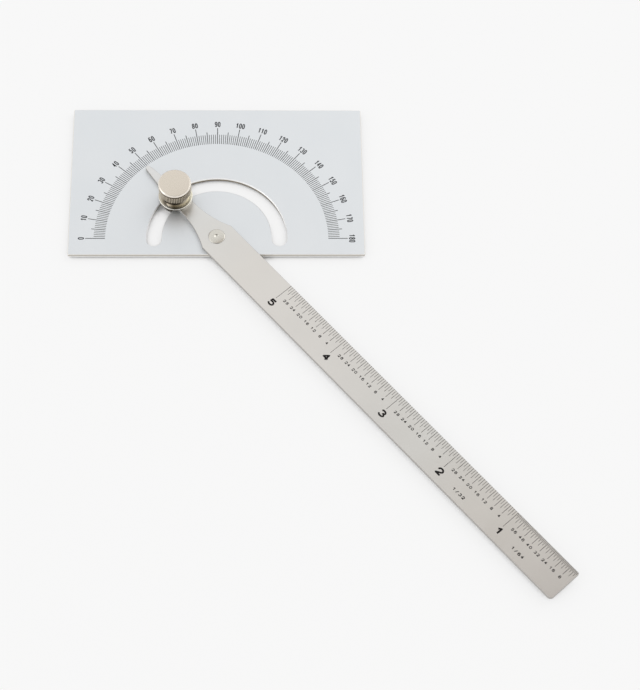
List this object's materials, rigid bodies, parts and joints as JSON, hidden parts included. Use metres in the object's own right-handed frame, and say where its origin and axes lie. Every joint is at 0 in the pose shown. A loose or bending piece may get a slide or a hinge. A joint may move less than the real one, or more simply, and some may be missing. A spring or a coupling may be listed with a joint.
{
  "type": "engineers protractor",
  "caption": "Flat steel protractor plate with a swinging ruled blade, clamped by a knurled thumb nut in an arc slot; reads 0 to 180 degrees.",
  "frame": {"origin": "vertex of the angle: the pivot axis where it meets the plate's back face", "axes": "+X along the reference edge from reading 0 towards reading 180, +Y away from the reference edge, +Z out of the scale face towards the thumb nut"},
  "size_m": [0.1539, 0.17, 0.0114],
  "materials": {
    "plate_steel": "satin plated steel",
    "blade_steel": "satin stainless steel",
    "rivet_nickel": "satin nickel plating",
    "stud_steel": "turned steel",
    "washer_nickel": "nickel plated",
    "nut_nickel": "nickel plated, knurled"
  },
  "bodies": {
    "plate": {"scale_plate": "plate_steel", "pivot_rivet": "rivet_nickel"},
    "arm": {"blade": "blade_steel", "clamp_washer": "washer_nickel"},
    "stud": {"clamp_stud": "stud_steel"},
    "nut": {"thumb_nut": "nut_nickel"}
  },
  "joints": [
    {"name": "blade_swing", "type": "hinge", "parent": "plate", "child": "arm", "pos_m": [0, 0, 0.0015], "axis": [0, 0, 1], "range_deg": [-131, 49]},
    {"name": "thumb_nut_turn", "type": "hinge", "parent": "arm", "child": "nut", "pos_m": [-0.01335, 0.0149, 0.0036], "axis": [0, 0, 1], "range_deg": [0, 360]},
    {"name": "stud_drop", "type": "slide", "parent": "arm", "child": "stud", "axis": [0, 0, -1], "range_m": [0, 0.0007]}
  ],
  "couplings": [
    {"joint": "thumb_nut_turn", "follows": "stud_drop", "rad_per_m": 8975}
  ]
}
